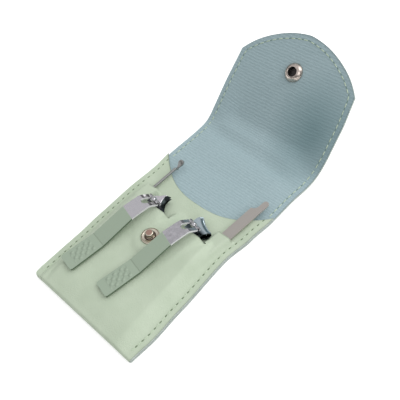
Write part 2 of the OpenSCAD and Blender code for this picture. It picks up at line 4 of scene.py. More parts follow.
import bpy
import numpy as np
from mathutils import Euler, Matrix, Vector


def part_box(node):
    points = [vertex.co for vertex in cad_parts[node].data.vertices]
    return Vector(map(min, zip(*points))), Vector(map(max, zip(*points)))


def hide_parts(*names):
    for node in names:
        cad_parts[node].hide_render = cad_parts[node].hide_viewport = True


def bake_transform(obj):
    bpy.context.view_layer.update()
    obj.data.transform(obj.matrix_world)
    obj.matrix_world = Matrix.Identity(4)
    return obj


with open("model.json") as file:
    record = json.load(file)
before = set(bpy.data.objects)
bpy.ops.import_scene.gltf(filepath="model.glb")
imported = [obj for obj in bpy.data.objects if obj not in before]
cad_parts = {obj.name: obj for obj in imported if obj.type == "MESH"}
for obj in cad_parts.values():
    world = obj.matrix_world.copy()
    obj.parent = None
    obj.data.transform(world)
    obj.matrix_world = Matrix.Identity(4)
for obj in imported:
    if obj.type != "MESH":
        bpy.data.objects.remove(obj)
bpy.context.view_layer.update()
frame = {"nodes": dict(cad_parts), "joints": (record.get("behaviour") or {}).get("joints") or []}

MM = 0.001
joints = {j["name"]: j for j in frame["joints"]}

# Sizes are in millimetres, and Y counts from the bottom fold.

# The two layers and the side seams. The frame's origin lies REST_Y beyond the bottom fold, and EPS is a
# hair's breadth.
REST_Y = 52.0
HALF_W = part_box("case_leather")[1].x / MM
FOLD_Y = joints["flap_fold"]["pos_m"][1] / MM + REST_Y
SKIN_T = joints["flap_fold"]["pos_m"][2] / MM
LEATHER_T = 0.8
EPS = 0.01
SEAM_GAP = 0.1
SEAM_H = 2 * SKIN_T + SEAM_GAP
SEAM_W = 3.5

# The pocket's curved mouth, turned up towards the left and the right seam
MOUTH_Y = 77.2
MOUTH_RISE = 16.1
MOUTH_POWER = (2.3, 2.8)

# The slits, each from its left to its right end, and the cut's width
SLIT_CUT = 0.5
SLIT_Y = 60.9
SMALL_SLIT_Y = 70.6
LEFT_SLIT = (-22.6, -1.0)
RIGHT_SLIT = (4.0, 22.4)
FILE_SLIT = (21.8, 30.0)
PICK_SLIT = (-26.1, -20.9)
SLITS = ((LEFT_SLIT, SLIT_Y), (RIGHT_SLIT, SLIT_Y), (FILE_SLIT, SMALL_SLIT_Y), (PICK_SLIT, SMALL_SLIT_Y))

# The snap's stud, and the flat round it that fades out over STUD_FLAT_EDGE
STUD_Y = 47.3
STUD_FLAT_R = 6.5
STUD_FLAT_EDGE = 4

# The clippers' arms under the front panel. ARM_BOW gives the upper arm's underside along the clipper.
POST_Y = 62.8
LEFT_TURN = math.radians(9.7)
RIGHT_TURN = math.radians(12)
ARM_TILT = math.radians(1.7)
ARM_Z = 3.2
ARM_T = 1.1
ARM_LEN = 48.0
TAIL_Z = ARM_T + 0.15
POST_Z = 3.5
ARM_BOW = ((-ARM_LEN, TAIL_Z), (-42.8, TAIL_Z), (-32, TAIL_Z + 0.55), (-20, TAIL_Z + 1.35), (-8, POST_Z),
           (0, POST_Z))
RIVET_HEAD_H = 0.25
ARM_ROOM = 0.4

# The file and the pick: place at the slit, turn, tilt, top above the seam and half width of the swelling
NAIL_FILE = (25.9, math.radians(4.6), math.radians(2), 1.65, 3.2)
EAR_PICK = (-23.5, math.radians(2.4), math.radians(2.2), 2.1, 2.9)
TOOL_ROOM = 0.25

# How the front panel swells and falls, with the share of the swelling that is left at the bottom fold
FOLD_SHARE = 0.2
LIP_RISE = 2.5
LIP_REACH = 9.0
LIP_FALL = 3.4
LEFT_SUNK_FALL = 4.2
RIGHT_SUNK_FALL = 3.2
FAR_FALL = 8.5
SIDE_FALL = 7.5
TOOL_FALL = 2.6

# The rounded bottom corners
LEFT_CORNER_R = 2.6
RIGHT_CORNER_R = 0.8
CORNER_POWER = 6

# The open flap: flat, a bend, then a slope with an arched end. CLOSED_H is its lining's height once closed.
RISE_Y = 120.0
RISE_ANGLE = math.radians(42)
RISE_R = 14.0
BEND_LEN = RISE_R * RISE_ANGLE
SLOPE_S = RISE_Y + BEND_LEN
ARCH_H = 19.4
ARCH_SHIFT = 4.0
SOCKET_DROP = 0.8
CLOSED_H = 12.4

# The socket lies as far from the crease as the stud, and the slope's straight sides end a little past it.
SLOPE = np.array([math.cos(RISE_ANGLE), math.sin(RISE_ANGLE)])
CREASE_TO_STUD = math.hypot(FOLD_Y - STUD_Y, CLOSED_H - SKIN_T)
SLOPE_START = np.array([RISE_Y - FOLD_Y + RISE_R * SLOPE[1], RISE_R * (1 - SLOPE[0])])
ALONG = float(SLOPE_START @ SLOPE)
SOCKET_V = math.sqrt(ALONG ** 2 - float(SLOPE_START @ SLOPE_START) + CREASE_TO_STUD ** 2) - ALONG
SLOPE_LEN = SOCKET_V + SOCKET_DROP
ARCH_DROP = ((HALF_W + ARCH_SHIFT) ** 2 - ARCH_SHIFT ** 2 - ARCH_H ** 2) / (2 * ARCH_H)
ARCH_R = math.hypot(HALF_W + ARCH_SHIFT, ARCH_DROP)

# The open flap's soft relief: heights, and the lengths along the sheet where its forms start or lie
LOW_SWELL_H = 0.7
LOW_SWELL_S = (110, 124)
LOW_SWELL_FALL = 12
RIDGE = (0.5, 125)
VALLEY = (0.7, 118)
WRINKLE_W = 3.0
WRINKLE_LEAN = 0.05
HOLLOW_H = 2.6
HOLLOW_S = (126, 162)
HOLLOW_RISE = 11
HOLLOW_FALL = 26
DROOP_H = 0.35
DROOP_S = 166
DROOP_LEN = 19
RELIEF_HALF_W = 33
RELIEF_FADE = 14

# How far each side edge of the sheet wanders outwards, as pairs of length along the sheet and shift
LEFT_SWAY = ((0, -1.5), (29, -1.2), (42, -0.5), (64, 0.1), (82, -0.5), (96, 0.6), (113, 0.3), (133, 1.1),
             (146, 1.1), (170, 0.2))
RIGHT_SWAY = ((0, -0.4), (14, 0.3), (30, -0.4), (62, -1.8), (78, 0.0), (92, 1.1), (106, 1.1), (120, 1.8),
              (136, 2.4), (150, 2.2), (172, 0.6))
SWAY_FROM = 17
SWAY_WIDTH = 15

# Points across the sheet, and rows of points on each stretch of it
COLUMNS = 109
SLOPE_ROWS = 64
BEND_ROWS = 15
BACK_ROWS = 130
FOLD_ROWS = 13
PANEL_ROWS = 74
BETWEEN_SLITS = 13
MOUTH_ROWS = 20

# The bottom fold: its start on the back and end on the front, the place of its height, and its length
BACK_START = 4.0
PANEL_START = 4.5
FOLD_PROBE_Y = 2.0
FOLD_LEN = 6.0

# The sheet's materials: its two faces, its outer edges, and the edges of the mouth and slits
FACE, OUTER, MOUTH = 0, 1, 2

# The length of one UV unit
UV_UNIT = 10

# The seam: even stitches, INSET from the edge, with a dent between each two, painted as a dark disc of shade
PITCH = 3.6
STITCH_LEN = 2.4
STITCH_START = 0.3
THREAD_R = 0.24
BACK_THREAD_R = 0.8 * THREAD_R
FRONT_SINK = 0.14
BACK_SINK = 0.2
DENT_LEN = 1.5
DENT_W = 0.62
INSET = 2.8
SEAM_START = 3.2
STRAIGHT_POINTS = 400
ARCH_POINTS = 200
MOUTH_MARGIN = 0.6

# The arms' plating: where the jaws start before the post, how far painted shade darkens it round the post,
# under the lever's fork, and how much less behind
JAW_START = 1.0
POST_SHADE_LEN = 5.0
POST_SHADE_BEHIND = 0.4

# How far a face leans up or sideways to count as a jaw's top, a jaw's end or a lever's flank
TOP_LEAN = 0.87
END_LEAN = 0.82
FLANK_LEAN = 0.75

# The levers' paint, its leaning edge, the crease and the half width of its line of painted shade, and the
# finger pad, measured back from the post
PAINT_END = 14.5
PAINT_SKEW = 0.1
LEVER_BEND = 32.6
CREASE_SHADE_HALF_W = 0.25
PAD_START = 36
PAD_END = 47.3
PAD_HALF_W = 3.6
PAD_PITCH = 3.6

# The socket's bore, painted dark as shade, and the widths of the bevels that soften sharp metal edges
BORE_SHADE_R = 2.55
BORE_SHADE_FROM = -0.2
CLIPPER_BEVEL = 0.12
LEVER_BEVEL = 0.28
SNAP_BEVEL = 0.08
FILE_BEVEL = 0.1
PICK_BEVEL = 0.06
BEVEL_ANGLE = math.radians(35)
WELD_REACH = 0.002

# The photograph's view
FRAME_PX = 400
FOCAL_PX = 569.5
SENSOR_W = 36
CAMERA_AT = (142.3, -27.2, 222.65)
CAMERA_TURN = (38.294, 7.877, 43.089)

# The floor, in metres, its grey and its glow
FLOOR_HALF = 3.0
FLOOR_Z = -0.0002
FLOOR_GREY = 0.82
FLOOR_GLOW = 0.47

# Strengths of the even room and the window, and the way to the window
ROOM = 0.43
WINDOW = 0.8
WINDOW_WAY = Vector((0.22, 0.6, 0.77)).normalized()

# The lamps: name, place and size in metres, and watts. They face LIT_POINT.
LAMPS = (("key", (0.5, 0.8, 0.9), 0.7, 3.5), ("side", (1.0, -0.2, 0.7), 0.6, 1.8))
LIT_POINT = Vector((0, 0.02, 0))


def smooth(t):
    """A soft step from 0 to 1."""
    t = np.clip(t, 0, 1)
    return t * t * (3 - 2 * t)


def plateau(x, low, high, side):
    """1 from low to high, falling to 0 over side on either hand."""
    return smooth((x - low + side) / side) * smooth((high + side - x) / side)


def eased(s, pairs):
    """A smooth line through pairs of station and value."""
    total = pairs[0][1] + 0 * s
    for (a, low), (b, high) in zip(pairs, pairs[1:]):
        total = total + (high - low) * smooth((s - a) / (b - a))
    return total


# The front panel, which swells over the tools inside

def lip(y):
    """How far the outer lip of a wide slit stands up."""
    return LIP_RISE * np.exp(-(SLIT_Y - y) / LIP_REACH)


def over_arms(y):
    """What the panel has to rise above the seam, without the lip, to clear the arms."""
    u = y - POST_Y
    bow = np.interp(u, *zip(*ARM_BOW))
    top = ARM_Z + u * math.tan(ARM_TILT) + bow + ARM_T + RIVET_HEAD_H * smooth(-u / ARM_LEN)
    return top + ARM_ROOM + SKIN_T - SEAM_H - lip(y)


def swell(y):
    """The panel's rise above the seam, over the arms and down to the bottom fold."""
    tail_y = POST_Y - ARM_LEN
    share = FOLD_SHARE + (1 - FOLD_SHARE) * np.sin(np.clip(y / tail_y, 0, 1) * math.pi / 2)
    return np.where(y > tail_y, over_arms(np.maximum(y, tail_y)), over_arms(tail_y) * share)


def window(x, slit, side):
    """1 inside a slit, falling to 0 towards its ends."""
    return plateau(x, slit[0] + side, slit[1] - side, side)


def lip_window(x, y):
    """Where the two lips rise: behind its slit each follows its clipper's turn."""
    return (window(x - (y - SLIT_Y) * math.tan(LEFT_TURN), LEFT_SLIT, LIP_FALL)
            + window(x - (y - SLIT_Y) * math.tan(RIGHT_TURN), RIGHT_SLIT, LIP_FALL))


def sunk_window(x):
    """Where the panel stays low beyond the two wide slits."""
    return window(x, LEFT_SLIT, LEFT_SUNK_FALL) + window(x, RIGHT_SLIT, RIGHT_SUNK_FALL)


def over_tool(x, y, tool):
    """The panel's rise above the seam over the file or the pick."""
    slit_x, turn, tilt, top, half_w = tool
    line = slit_x + (y - SMALL_SLIT_Y) * math.tan(turn)
    height = top + (y - SMALL_SLIT_Y) * math.tan(tilt) + TOOL_ROOM + SKIN_T
    return height * plateau(x - line, -half_w, half_w, TOOL_FALL)


def front_height(x, y):
    """Height of the front panel's outer face above the table."""
    near = swell(y) + lip_window(x, y) * lip(y)
    far = swell(SLIT_Y) * (1 - sunk_window(x)) * smooth(1 - (y - SLIT_Y) / FAR_FALL)
    clippers = np.where(y < SLIT_Y, near, far) * smooth((HALF_W - SEAM_W - np.abs(x)) / SIDE_FALL)
    tools = np.maximum(over_tool(x, y, NAIL_FILE), over_tool(x, y, EAR_PICK))
    tools = np.where(y < SMALL_SLIT_Y, tools, 0)
    stud_h = swell(STUD_Y) + lip(STUD_Y)
    flat = smooth((STUD_FLAT_R + STUD_FLAT_EDGE - np.hypot(x, y - STUD_Y)) / STUD_FLAT_EDGE)
    return SEAM_H + (1 - flat) * np.maximum(clippers, tools) + flat * stud_h


def mouth(x):
    """The pocket's curved mouth, a little steeper on the file's side."""
    return MOUTH_Y + MOUTH_RISE * np.abs(x / HALF_W) ** np.where(x < 0, *MOUTH_POWER)


# The sheet: x runs across it, s along its back from the bottom fold, and depth inwards from its outer face

def arch_v(x, inset=0.0):
    """How far the arched end reaches up the slope at x, drawn in by inset."""
    r = ARCH_R - inset
    return SLOPE_LEN - ARCH_DROP + np.sqrt(np.maximum(r ** 2 - (np.abs(x) + ARCH_SHIFT) ** 2, 0))


def relief(x, s):
    """The open flap's bulge: a valley and a ridge in a low swell, then a hollow and a tip that droops."""
    def wrinkle(height, at):
        return height * np.exp(-((s - at + WRINKLE_LEAN * x) / WRINKLE_W) ** 2)
    low_swell = LOW_SWELL_H * plateau(s, *LOW_SWELL_S, LOW_SWELL_FALL)
    hollow = HOLLOW_H * smooth((s - HOLLOW_S[0]) / HOLLOW_RISE) * smooth((HOLLOW_S[1] - s) / HOLLOW_FALL)
    droop = DROOP_H * smooth((s - DROOP_S) / DROOP_LEN)
    bulge = low_swell + wrinkle(*RIDGE) - wrinkle(*VALLEY) - hollow - droop
    return bulge * smooth((RELIEF_HALF_W - np.abs(x)) / RELIEF_FADE)


def sway(x, s):
    """Draws the side strips of the sheet in or out along its length, as sewn leather does."""
    shift = np.where(x < 0, -eased(s, LEFT_SWAY), eased(s, RIGHT_SWAY))
    return x + shift * smooth((np.abs(x) - SWAY_FROM) / SWAY_WIDTH)


def corner_cut(x, y):
    """Draws the bottom corners in, as the sewn corners are rounded."""
    r = np.where(x < 0, LEFT_CORNER_R, RIGHT_CORNER_R)
    low = np.clip(r - y, 0, r)
    pull = (r - np.sqrt(np.maximum(r ** 2 - low ** 2, 0))) * np.abs(x / HALF_W) ** CORNER_POWER
    return x - np.sign(x) * pull


def on_slope(x, v, depth):
    """Points at v up the slope."""
    r = RISE_R + SKIN_T - depth
    y = RISE_Y + r * SLOPE[1] + v * SLOPE[0]
    z = RISE_R + SKIN_T - r * SLOPE[0] + v * SLOPE[1]
    return np.stack([x + 0 * y, y, z + 0 * x], -1)


def on_bend(x, angle, depth):
    """Points at an angle round the bend."""
    r = RISE_R + SKIN_T - depth
    y = RISE_Y + r * np.sin(angle)
    z = RISE_R + SKIN_T - r * np.cos(angle)
    return np.stack([x, y + 0 * x, z + 0 * x], -1)


def on_panel(x, y, depth):
    """Points of the front panel."""
    return np.stack([corner_cut(x, y), y, front_height(x, y) - depth], -1)


def place(x, s, depth):
    """Point of the open sheet at length s and depth, and the direction out of its lining side."""
    lift = np.array([0, 0, relief(x, s)])
    x = float(sway(x, s))
    if s <= RISE_Y:
        return np.array([x, s, depth]) + lift, np.array([0, 0, 1.0])
    if s <= SLOPE_S:
        angle = (s - RISE_Y) / RISE_R
        point = on_bend(np.array([x]), angle, depth)[0]
        return point + lift, np.array([0, -math.sin(angle), math.cos(angle)])
    point = on_slope(np.array([x]), np.array([s - SLOPE_S]), depth)[0]
    return point + lift, np.array([0, -SLOPE[1], SLOPE[0]])


def sheet_rows(xs, depth):
    """Rows of points from the arched end round to the pocket's mouth, with their length along the sheet."""
    level = 0 * xs
    rows = []
    for t in np.linspace(1, 0, SLOPE_ROWS):
        v = t * arch_v(xs)
        rows.append((on_slope(xs, v, depth), SLOPE_S + v))
    for t in np.linspace(1, 0, BEND_ROWS)[1:]:
        rows.append((on_bend(xs, t * RISE_ANGLE, depth), RISE_Y + t * BEND_LEN + level))
    for y in np.linspace(RISE_Y, BACK_START, BACK_ROWS)[1:]:
        rows.append((np.stack([xs, y + level, depth + level], -1), y + level))
    fold_r = front_height(xs, FOLD_PROBE_Y + level) / 2
    for angle in np.linspace(-math.pi / 2, math.pi / 2, FOLD_ROWS):
        y = fold_r - (fold_r - depth) * math.cos(angle)
        z = fold_r + (fold_r - depth) * math.sin(angle)
        rows.append((np.stack([corner_cut(xs, y), y, z], -1), -fold_r * (angle + math.pi / 2)))
    stations = front_stations()
    steps = np.linspace(0, 1, MOUTH_ROWS)[1:]
    front = [y + level for y in stations] + [stations[-1] + (mouth(xs) - stations[-1]) * t for t in steps]
    rows += [(on_panel(xs, y, depth), -y - FOLD_LEN) for y in front]
    for points, length in rows:
        points[:, 2] += relief(points[:, 0], length)
        points[:, 0] = sway(points[:, 0], np.where(length > 0, length, points[:, 1]))
    return rows


def front_stations():
    """Rows of the front panel up to the narrow slits, with a pair of rows on the edges of each cut."""
    half = SLIT_CUT / 2
    parts = [np.linspace(PANEL_START, SLIT_Y - half - EPS, PANEL_ROWS), [SLIT_Y + half],
             np.linspace(SLIT_Y + half, SMALL_SLIT_Y - half, BETWEEN_SLITS)[1:], [SMALL_SLIT_Y + half]]
    return np.concatenate(parts)


def in_slit(x, y):
    """True where a point of the front panel lies in one of the four slits."""
    cut = np.zeros(x.shape, bool)
    for slit, slit_y in SLITS:
        cut |= (x > slit[0]) & (x < slit[1]) & (np.abs(y - slit_y) < SLIT_CUT / 2)
    return cut


def rim_edges(quads):
    """The edges that only one of the quads has, in that quad's direction."""
    edges = [tuple(e) for e in quads[:, [0, 1, 1, 2, 2, 3, 3, 0]].reshape(-1, 2).tolist()]
    known = set(edges)
    return [(a, b) for a, b in edges if (b, a) not in known]


def sheet_quads(top, front_from):
    """Quads between rows of points, as point numbers. The front's rows have the slits left out."""
    rows, cols = top.shape[:2]
    k = np.arange(rows - 1)[:, None]
    j = np.arange(cols - 1)[None, :]
    corners = [(k, j), (k, j + 1), (k + 1, j + 1), (k + 1, j)]
    centre = sum(top[c] for c in corners) / 4
    cut = in_slit(centre[..., 0], centre[..., 1]) & (k >= front_from)
    index = np.arange(rows * cols).reshape(rows, cols)
    return np.stack([index[c] for c in corners], -1)[~cut]


def sheet_mesh(name, outer, inner, materials):
    """A closed sheet between two depths. Its materials are in the order FACE, OUTER, MOUTH."""
    xs = np.linspace(-HALF_W, HALF_W, COLUMNS)
    top, lengths = (np.array(part) for part in zip(*sheet_rows(xs, outer)))
    bottom = np.array([points for points, _ in sheet_rows(xs, inner)])
    front_from = len(top) - len(front_stations()) - (MOUTH_ROWS - 1)
    quads = sheet_quads(top, front_from)
    rim = rim_edges(quads)
    looks = [FACE] * (2 * len(quads))
    for a, b in rim:
        on_side = a % COLUMNS == b % COLUMNS and a % COLUMNS in (0, COLUMNS - 1)
        looks.append(MOUTH if a // COLUMNS >= front_from and not on_side else OUTER)
    count = lengths.size
    walls = [(b, a, a + count, b + count) for a, b in rim]
    faces = np.array(quads[:, ::-1].tolist() + (quads + count).tolist() + walls)
    used, renumbered = np.unique(faces, return_inverse=True)
    verts = np.concatenate([top.reshape(-1, 3), bottom.reshape(-1, 3)])[used]
    piece = mesh_object(name, in_frame(verts), renumbered.reshape(faces.shape).tolist(), materials, looks)
    across = np.tile(xs, 2 * len(top))[used]
    along = np.tile(lengths.reshape(-1), 2)[used]
    set_uv(piece, across, along)
    return piece


def in_frame(points):
    """Points in metres in the frame, from millimetres counted from the bottom fold."""
    return (np.array(points) - [0, REST_Y, 0]) * MM


def mesh_object(name, verts, faces, materials, looks=None):
    """A smooth mesh from points in metres. looks gives each face the number of its material."""
    mesh = bpy.data.meshes.new(name)
    mesh.from_pydata([tuple(v) for v in verts], [], [tuple(f) for f in faces])
    for material in materials:
        mesh.materials.append(material)
    if looks is not None:
        mesh.polygons.foreach_set("material_index", looks)
    mesh.polygons.foreach_set("use_smooth", [True] * len(mesh.polygons))
    mesh.update()
    return add_object(name, mesh)


def add_object(name, data):
    """A new object in the scene."""
    piece = bpy.data.objects.new(name, data)
    bpy.context.scene.collection.objects.link(piece)
    return piece


def set_uv(piece, u, v):
    """One UV unit is a centimetre on the sheet."""
    layer = piece.data.uv_layers.new(name="UVMap")
    loops = np.zeros(len(piece.data.loops), int)
    piece.data.loops.foreach_get("vertex_index", loops)
    layer.data.foreach_set("uv", np.stack([u[loops] / UV_UNIT, v[loops] / UV_UNIT], -1).reshape(-1))


# Colours

def srgb(r, g, b):
    """Linear colour from 0 to 255 sRGB values."""
    def linear(c):
        c /= 255
        return c / 12.92 if c <= 0.04045 else ((c + 0.055) / 1.055) ** 2.4
    return (linear(r), linear(g), linear(b), 1)


def grey(level):
    """A grey or a plain number, as a colour."""
    return (level, level, level, 1)


def darker(color, share):
    """A colour dimmed to a share of its light."""
    return tuple([c * share for c in color[:3]] + [1])


# The photograph's colours, many as a dark and a light shade
BLACK, WHITE = grey(0), grey(1)
LEATHER = (srgb(184, 198, 176), srgb(192, 205, 184))
CLOTH = (srgb(145, 167, 172), srgb(171, 191, 196))
# Painted shade for the lining on the right of the flap
CLOTH_PAINTED_SHADE = srgb(120, 147, 152)
OUTER_EDGE = (srgb(160, 172, 166), srgb(192, 201, 195))
# The cut edge at the mouth and slits: its own colour, darkened with painted shade
MOUTH_EDGE_SHADE = (srgb(104, 120, 106), srgb(132, 148, 134))
THREAD = (srgb(180, 198, 172), srgb(204, 218, 195))
# Painted shade in the dents between stitches
HOLE_SHADES = (srgb(108, 125, 99), srgb(116, 139, 132))
CHROME = srgb(196, 196, 198)
# Painted shade on the arms round the post, under the lever's fork
POST_SHADE_CHROME = srgb(92, 96, 98)
# Painted reflections on the jaw faces, and on their ends a dark painted reflection with light painted glints
JAW_DARK_REFLECTION = srgb(46, 52, 52)
JAW_MISTY_REFLECTION = srgb(150, 166, 172)
JAW_END_REFLECTION = (srgb(30, 36, 34), srgb(112, 122, 122))
# One plating and one bare plate for both clippers, painted lighter on the left and darker and bluer on the
# right, as lit and shaded copies
LEFT_PLATING_LIT, RIGHT_PLATING_SHADED = srgb(214, 211, 215), srgb(186, 200, 205)
LEFT_PLATE_LIT, RIGHT_PLATE_SHADED = srgb(204, 202, 205), srgb(176, 174, 178)
WORN_PLATE = srgb(200, 198, 202)
# A painted highlight on the bare plate's flank
PLATE_FLANK_HIGHLIGHT = srgb(218, 218, 221)
# The paint, painted lighter on the pad's bumps as a highlight, with painted shade in the crease and on the
# painted flank
PAINT_AND_BUMP_HIGHLIGHT = (srgb(154, 170, 151), srgb(160, 176, 157))
PAINT_CREASE_SHADE = srgb(138, 153, 134)
PAINT_FLANK_SHADE = srgb(86, 104, 82)
SOCKET = (srgb(176, 164, 156), srgb(216, 204, 194))
# Painted shade in the socket's bore
SOCKET_BORE_SHADE = srgb(62, 58, 56)
SPRING = srgb(120, 118, 115)
# A rosy painted reflection on the stud's knob, and painted shade in its groove
KNOB_REFLECTION, GROOVE_SHADE, FLANGE, RING = srgb(178, 146, 132), srgb(92, 78, 68), srgb(224, 216, 198), srgb(140, 128, 106)
FILE_STEEL = srgb(198, 193, 187)
PICK_STEEL = srgb(170, 171, 168)

# The stud's colours from its axis outwards, at shares of STUD_BANDS_R
STUD_BANDS_R = 5
STUD_BANDS = ((0, KNOB_REFLECTION), (0.29, KNOB_REFLECTION), (0.34, FLANGE), (0.38, FLANGE), (0.42, GROOVE_SHADE), (0.55, GROOVE_SHADE),
              (0.6, FLANGE), (0.76, FLANGE), (0.81, RING), (0.86, FLANGE))


class Nodes:
    """Short calls for building a node tree."""

    def __init__(self, tree):
        self.tree = tree

    def add(self, kind, **values):
        """A new node. Each value is one of its settings or inputs."""
        node = self.tree.nodes.new(kind)
        for key, value in values.items():
            if hasattr(node, key) and key not in node.inputs:
                setattr(node, key, value)
            else:
                node.inputs[key].default_value = value
        return node

    def link(self, a, b):
        self.tree.links.new(a, b)

    def give(self, socket, value):
        """Sets a socket to a fixed value, or links another node's output to it."""
        if isinstance(value, bpy.types.NodeSocket):
            self.link(value, socket)
        else:
            socket.default_value = value

    def coords(self, kind):
        return self.add("ShaderNodeTexCoord").outputs[kind]

    def part_of(self, vector, axis):
        """One of a vector's three numbers: X, Y or Z."""
        node = self.add("ShaderNodeSeparateXYZ")
        self.link(vector, node.inputs[0])
        return node.outputs[axis]

    def scaled(self, vector, scale):
        node = self.add("ShaderNodeMapping", Scale=scale)
        self.link(vector, node.inputs["Vector"])
        return node.outputs["Vector"]

    def noise(self, vector, scale, detail=3.0, roughness=0.5):
        node = self.add("ShaderNodeTexNoise", Scale=scale, Detail=detail, Roughness=roughness)
        self.link(vector, node.inputs["Vector"])
        return node.outputs["Fac"]

    def bands(self, factor, stops):
        """A colour ramp through stops of position and colour."""
        node = self.add("ShaderNodeValToRGB")
        elements = node.color_ramp.elements
        for at, color in stops[1:-1]:
            elements.new(at)
        for element, (at, color) in zip(elements, stops):
            element.position = at
            element.color = color
        self.link(factor, node.inputs["Fac"])
        return node.outputs["Color"]

    def ramp(self, factor, low, high, start=0.3, end=0.7):
        """A colour that turns from low to high while the factor goes from start to end."""
        return self.bands(factor, ((start, low), (end, high)))

    def math(self, operation, a, b=0.0):
        node = self.add("ShaderNodeMath", operation=operation)
        self.give(node.inputs[0], a)
        self.give(node.inputs[1], b)
        return node.outputs[0]

    def vector(self, operation, a, b):
        """A calculation with vector a and the fixed vector b, which gives a vector."""
        node = self.add("ShaderNodeVectorMath", operation=operation)
        self.link(a, node.inputs[0])
        node.inputs[1].default_value = b
        return node.outputs["Vector"]

    def dot(self, vector, axis):
        node = self.add("ShaderNodeVectorMath", operation="DOT_PRODUCT")
        self.link(vector, node.inputs[0])
        node.inputs[1].default_value = axis
        return node.outputs["Value"]

    def length(self, vector):
        node = self.add("ShaderNodeVectorMath", operation="LENGTH")
        self.link(vector, node.inputs[0])
        return node.outputs["Value"]

    def mix(self, factor, a, b, blend="MIX"):
        """Colour a, mixed with b by the factor. Each is a socket or a fixed value."""
        node = self.add("ShaderNodeMix", data_type="RGBA", blend_type=blend)
        self.give(node.inputs["Factor"], factor)
        self.give(node.inputs["A"], a)
        self.give(node.inputs["B"], b)
        return node.outputs["Result"]

    def shader(self, factor, a, b):
        """A mix of two shaders, a where the factor is 0."""
        node = self.add("ShaderNodeMixShader")
        self.link(factor, node.inputs[0])
        self.link(a, node.inputs[1])
        self.link(b, node.inputs[2])
        return node.outputs[0]


class Material(Nodes):
    """A new material, its node tree and its shader."""

    def __init__(self, name):
        self.material = bpy.data.materials.new(name)
        self.material.use_nodes = True
        super().__init__(self.material.node_tree)
        self.bsdf = self.tree.nodes["Principled BSDF"]

    def set(self, **values):
        """Sets or links the shader's sockets, named with _ for a space."""
        for key, value in values.items():
            self.give(self.bsdf.inputs[key.replace("_", " ")], value)

    def bump(self, height, distance, strength):
        """Relief from a height, distance in millimetres deep."""
        node = self.add("ShaderNodeBump", Distance=distance * MM, Strength=strength)
        self.link(height, node.inputs["Height"])
        self.set(Normal=node.outputs["Normal"])


# Materials. Scales count per centimetre in those that use the sheet's UV, and per metre in the others.

def leather_material():
    """Green outer leather: a fine pebbled grain and faint mottling."""
    n = Material("green_leather")
    uv = n.coords("UV")
    mottle = n.noise(uv, 0.9, 4)
    pebbles = n.add("ShaderNodeTexVoronoi", Scale=16.0)
    n.link(uv, pebbles.inputs["Vector"])
    fine = n.noise(uv, 40, 2)
    n.bump(n.math("ADD", pebbles.outputs["Distance"], fine), 0.1, 0.6)
    n.set(Base_Color=n.ramp(mottle, *LEATHER), Roughness=n.ramp(fine, grey(0.5), grey(0.62)),
          Specular_IOR_Level=0.35)
    return n.material


def lining_material():
    """Blue-grey lining with fine ribs across the pouch, with painted shade that darkens it on the right of
    the flap.
    """
    n = Material("blue_grey_lining")
    uv = n.coords("UV")
    wobble = n.noise(n.scaled(uv, (1.6, 5, 1)), 1.2, 2)
    along = n.math("ADD", n.part_of(uv, "Y"), n.math("MULTIPLY", wobble, 0.16))
    ribs_per_cm = 1 / 0.155
    rib = n.math("SINE", n.math("MULTIPLY", along, 2 * math.pi * ribs_per_cm))
    fibre = n.noise(n.scaled(uv, (6, 26, 1)), 1.0, 3, 0.7)
    n.bump(n.math("ADD", rib, n.math("MULTIPLY", fibre, 3.2)), 0.05, 0.6)
    cloth = n.ramp(n.math("ADD", n.math("MULTIPLY", rib, 0.08), fibre), *CLOTH, 0.25, 0.75)
    # Painted shade: darker round a point on the right of the flap
    shade_centre, shade_scale = (2.3, 14.5, 0), (0.4, 0.3, 1)
    off_centre = n.length(n.scaled(n.vector("SUBTRACT", uv, shade_centre), shade_scale))
    shade = n.ramp(off_centre, grey(0.9), BLACK, 0.1, 1.0)
    n.set(Base_Color=n.mix(shade, cloth, CLOTH_PAINTED_SHADE), Roughness=0.72, Specular_IOR_Level=0.3)
    return n.material


def edge_material(name, shades):
    """Cut edge of the layers."""
    n = Material(name)
    streak = n.noise(n.scaled(n.coords("Object"), (300, 300, 1800)), 1.0, 3)
    n.bump(streak, 0.08, 0.6)
    n.set(Base_Color=n.ramp(streak, *shades), Roughness=0.7)
    return n.material


def thread_material():
    """Twisted green thread."""
    n = Material("thread")
    twist = n.noise(n.scaled(n.coords("Object"), (2500, 2500, 2500)), 1.0, 2)
    n.bump(twist, 0.05, 0.7)
    n.set(Base_Color=n.ramp(twist, *THREAD), Roughness=0.75)
    return n.material


def hole_shade_material():
    """Painted shade for the dents between stitches: dark green in the leather, dull blue-grey in the lining.
    """
    n = Material("stitch_hole_shade")
    mouth_side = (MOUTH_Y + MOUTH_RISE - REST_Y) * MM
    y = n.part_of(n.coords("Object"), "Y")
    n.set(Base_Color=n.ramp(y, *HOLE_SHADES, mouth_side - MM, mouth_side), Roughness=0.8)
    return n.material


def polished(name, color, roughness):
    """Plated metal with faint waviness and wear, as a node tree that can be added to."""
    n = Material(name)
    obj = n.coords("Object")
    wear = n.noise(obj, 900, 4)
    n.bump(n.noise(obj, 260, 2), 0.1, 0.2)
    n.set(Base_Color=n.ramp(wear, darker(color, 0.92), color),
          Roughness=n.ramp(wear, grey(roughness), grey(roughness + 0.08)), Metallic=1.0)
    return n


def clipper_axes(side):
    """The clipper's post foot and its own axes: across, towards the jaws, up."""
    foot = Vector(joints[f"{side}_lever_swivel"]["pos_m"])
    up = Vector(joints[f"{side}_lever_swivel"]["axis"]) * (-1 if side == "left" else 1)
    across = -Vector(joints[f"{side}_lever_lift"]["axis"])
    return foot, across, up.cross(across), up


